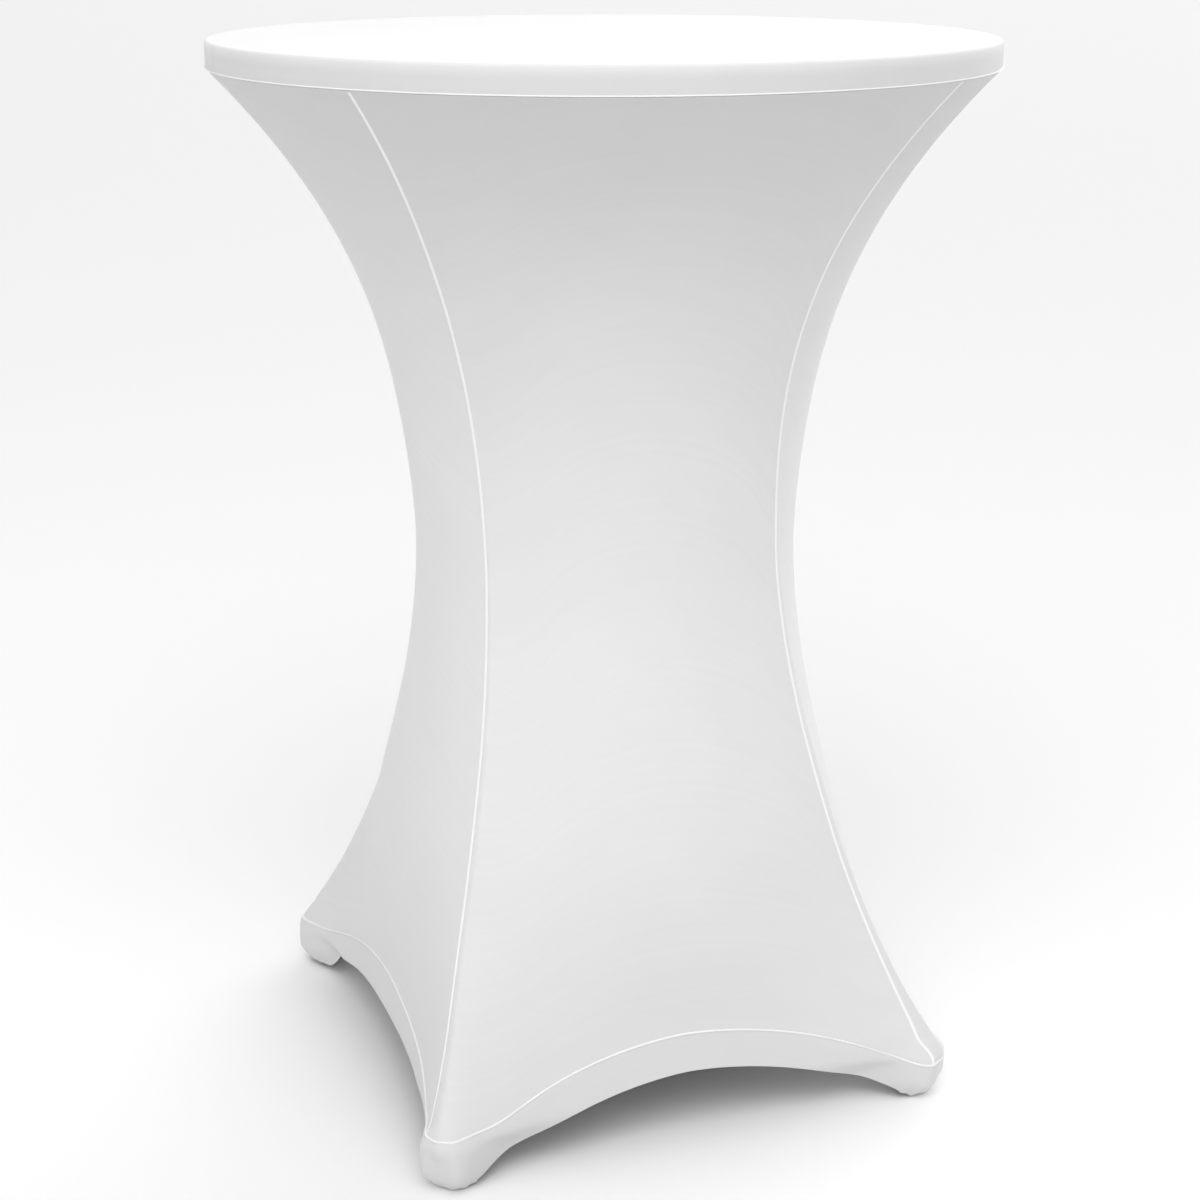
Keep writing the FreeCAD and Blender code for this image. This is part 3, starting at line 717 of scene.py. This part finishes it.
def even_points(line, pitch):
    """Points evenly spaced along a polyline, its direction at each and their shares of it."""
    steps = np.linalg.norm(np.diff(line, axis=0), axis=1)
    run = np.concatenate([[0], np.cumsum(steps)])
    at = np.arange(pitch / 2, run[-1], pitch)
    points = np.stack([np.interp(at, run, line[:, k]) for k in range(3)], -1)
    ahead = np.stack([np.interp(at + 1e-4, run, line[:, k]) for k in range(3)], -1)
    return points, unit(ahead - points + 1e-12), at / run[-1]


def cover_normals(share, z):
    """Outward directions of the cover at column shares and heights."""
    ahead = cover(np.clip(share + 0.002, -1, 1), z) - cover(np.clip(share - 0.002, -1, 1), z)
    up = cover(share, z + 0.0005) - cover(share, z - 0.0005)
    return unit(np.cross(ahead, up))


def hem_stitch_line(side):
    """The row of topstitching along the hem's upper edge: its points and normals."""
    fine = np.linspace(-1, 1, 1200)
    z = line_heights(fine, hem_line, side) - OFF_CLOTH
    normals = cover_normals(fine, z)
    return cover(fine, z) + normals * (HEM_STEP + 0.0004), normals


def hem_rib_grid(side):
    """The raised line of overlocked thread along the hem's upper edge."""
    top = line_heights(shares, hem_line, side)
    rows = []
    for offset, lift in RIB_BULGE:
        z = top + 2 * OFF_CLOTH + offset * RIB_HALF_WIDTH
        rows.append(cover(shares, z) + cover_normals(shares, z) * (OFF_CLOTH + lift * RIB_HEIGHT))
    return np.stack(rows, 1)


for number, side in enumerate(SIDES):
    turn = 90.0 * number
    line, normals = hem_stitch_line(side)
    centres, along, run_share = even_points(line, STITCH_PITCH)
    normal = normals[np.clip((run_share * (len(line) - 1)).astype(int), 0, len(line) - 1)]
    obj = stitches("hem_stitches_" + side, turned(centres, turn), turned(along, turn),
                   turned(normal, turn), STITCH_LENGTH, STITCH_RADIUS)
    finished(obj, TABLE, "seam_thread")
    rib = sheet_mesh("hem_rib_" + side, turned(hem_rib_grid(side), turn), SEAM_CLOTH, thread)
    finished(rib, TABLE, "seam_thread")


# ---- sole patches ------------------------------------------------------------------------
SOLE_HALF, SOLE_ROUND = 0.0160, 0.010
# The rolled edge: how far in from the outline, and how high.
SOLE_EDGE = ((0.010, 0.0001), (0.003, 0.0), (0.0006, 0.0002), (0.0, 0.00075), (0.0006, 0.0013),
             (0.003, 0.0015), (0.010, 0.0015))


def sole_patch(corner):
    """Doubled cloth under the glide, with a rounded outline and a soft rolled edge."""
    low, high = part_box("pocket_sole_" + corner)
    middle = (low + high) / 2
    bearing = math.atan2(middle.y, middle.x)
    straight = SOLE_HALF - SOLE_ROUND
    outline = []
    for sx, sy, start in ((1, 1, 0), (-1, 1, 90), (-1, -1, 180), (1, -1, 270)):
        outline += arc(sx * straight, sy * straight, SOLE_ROUND, start, start + 90, 9)
    outline = np.array(outline)
    rings = []
    for inset, z in SOLE_EDGE:
        scale = 1 - inset / SOLE_HALF
        rings.append(np.concatenate([outline * scale, np.full((len(outline), 1), low.z + z)], 1))
    grid = np.stack(rings)
    n = len(outline)
    faces = []
    for i in range(len(rings) - 1):
        for j in range(n):
            k = (j + 1) % n
            faces.append([i * n + j, i * n + k, (i + 1) * n + k, (i + 1) * n + j])
    faces.append(list(range(n))[::-1])
    faces.append([(len(rings) - 1) * n + j for j in range(n)])
    points = turned(grid.reshape(-1, 3), math.degrees(bearing))
    points[:, 0] += middle.x
    points[:, 1] += middle.y
    return make_object("sole_" + corner, points, faces, sole_knit, uv=grid.reshape(-1, 3)[:, :2])


for corner in CORNERS:
    finished(sole_patch(corner), "glide_" + corner, "sole_cloth", "pocket_sole_" + corner)


# ---- the table keeps its CAD shapes ------------------------------------------------------
for row in frame["record"]["subparts"]:
    node = frame["nodes"][row["node"]]
    if row["material_slot"] in table_materials:
        node.data.materials.clear()
        node.data.materials.append(table_materials[row["material_slot"]])

# ---- stage, light and camera -------------------------------------------------------------
FLOOR_HALF = 100.0


def floor():
    h = FLOOR_HALF
    mesh = bpy.data.meshes.new("floor")
    mesh.from_pydata([(-h, -h, 0), (h, -h, 0), (h, h, 0), (-h, h, 0)], [], [(0, 1, 2, 3)])
    obj = bpy.data.objects.new("floor", mesh)
    bpy.context.scene.collection.objects.link(obj)
    n = Nodes("pale_floor")
    n.set(Base_Color=(0.90, 0.90, 0.90, 1), Roughness=0.9, Specular_IOR_Level=0.1)
    mesh.materials.append(n.material)


# Azimuth (0 is -Y, turning towards +X), elevation and brightness of the dome's soft glows.
DOME_GLOWS = ((-40, 40, 1.58), (20, 40, 0.96), (-90, 5, 0.18), (-135, 5, 0.86), (135, 5, 4.25))
GLOW_TIGHTNESS = 4.0


def studio_dome():
    """A white dome that is brighter round a few directions, like large bounced lights."""
    world = bpy.data.worlds.new("studio")
    world.use_nodes = True
    tree = world.node_tree
    background = tree.nodes["Background"]
    background.inputs["Color"].default_value = (1, 1, 1, 1)
    direction = tree.nodes.new("ShaderNodeTexCoord").outputs["Generated"]
    total = None
    for azimuth, elevation, brightness in DOME_GLOWS:
        a, e = math.radians(azimuth), math.radians(elevation)
        toward = tree.nodes.new("ShaderNodeVectorMath")
        toward.operation = "DOT_PRODUCT"
        toward.inputs[1].default_value = (math.sin(a) * math.cos(e), -math.cos(a) * math.cos(e),
                                          math.sin(e))
        tree.links.new(direction, toward.inputs[0])
        value = toward.outputs["Value"]
        for operation, amount in (("MAXIMUM", 0.0), ("POWER", GLOW_TIGHTNESS),
                                  ("MULTIPLY", brightness)):
            step = tree.nodes.new("ShaderNodeMath")
            step.operation = operation
            step.inputs[1].default_value = amount
            tree.links.new(value, step.inputs[0])
            value = step.outputs[0]
        if total is not None:
            add = tree.nodes.new("ShaderNodeMath")
            tree.links.new(total, add.inputs[0])
            tree.links.new(value, add.inputs[1])
            value = add.outputs[0]
        total = value
    tree.links.new(total, background.inputs["Strength"])
    bpy.context.scene.world = world


def softbox(name, azimuth, elevation, size, power, distance, aim=(0, 0, 0.6)):
    """Square area light round the object: azimuth 0 is at -Y and turns towards +X."""
    a, e = math.radians(azimuth), math.radians(elevation)
    out = Vector((math.sin(a) * math.cos(e), -math.cos(a) * math.cos(e), math.sin(e)))
    light = bpy.data.lights.new(name, "AREA")
    light.size = size
    light.energy = power
    obj = bpy.data.objects.new(name, light)
    obj.location = Vector(aim) + out * distance
    obj.rotation_euler = (-out).to_track_quat("-Z", "Y").to_euler()
    bpy.context.scene.collection.objects.link(obj)


floor()
studio_dome()
softbox("overhead", azimuth=-20, elevation=65, size=2.5, power=29, distance=3.0)

CAMERA_AZIMUTH = -20.5
CAMERA_REACH, CAMERA_HEIGHT = 2.301, 1.243
CAMERA_TILT = 14.35
camera = bpy.data.cameras.new("camera")
camera.sensor_width = 36.0
camera.lens = 66.78
camera.shift_y = -0.115
camera.shift_x = -0.0033
camera_object = bpy.data.objects.new("camera", camera)
bearing = math.radians(CAMERA_AZIMUTH)
camera_object.location = (CAMERA_REACH * math.sin(bearing), -CAMERA_REACH * math.cos(bearing),
                          CAMERA_HEIGHT)
camera_object.rotation_euler = (math.radians(90 - CAMERA_TILT), 0, bearing)
bpy.context.scene.collection.objects.link(camera_object)
bpy.context.scene.camera = camera_object
bpy.context.scene.view_settings.view_transform = "Standard"
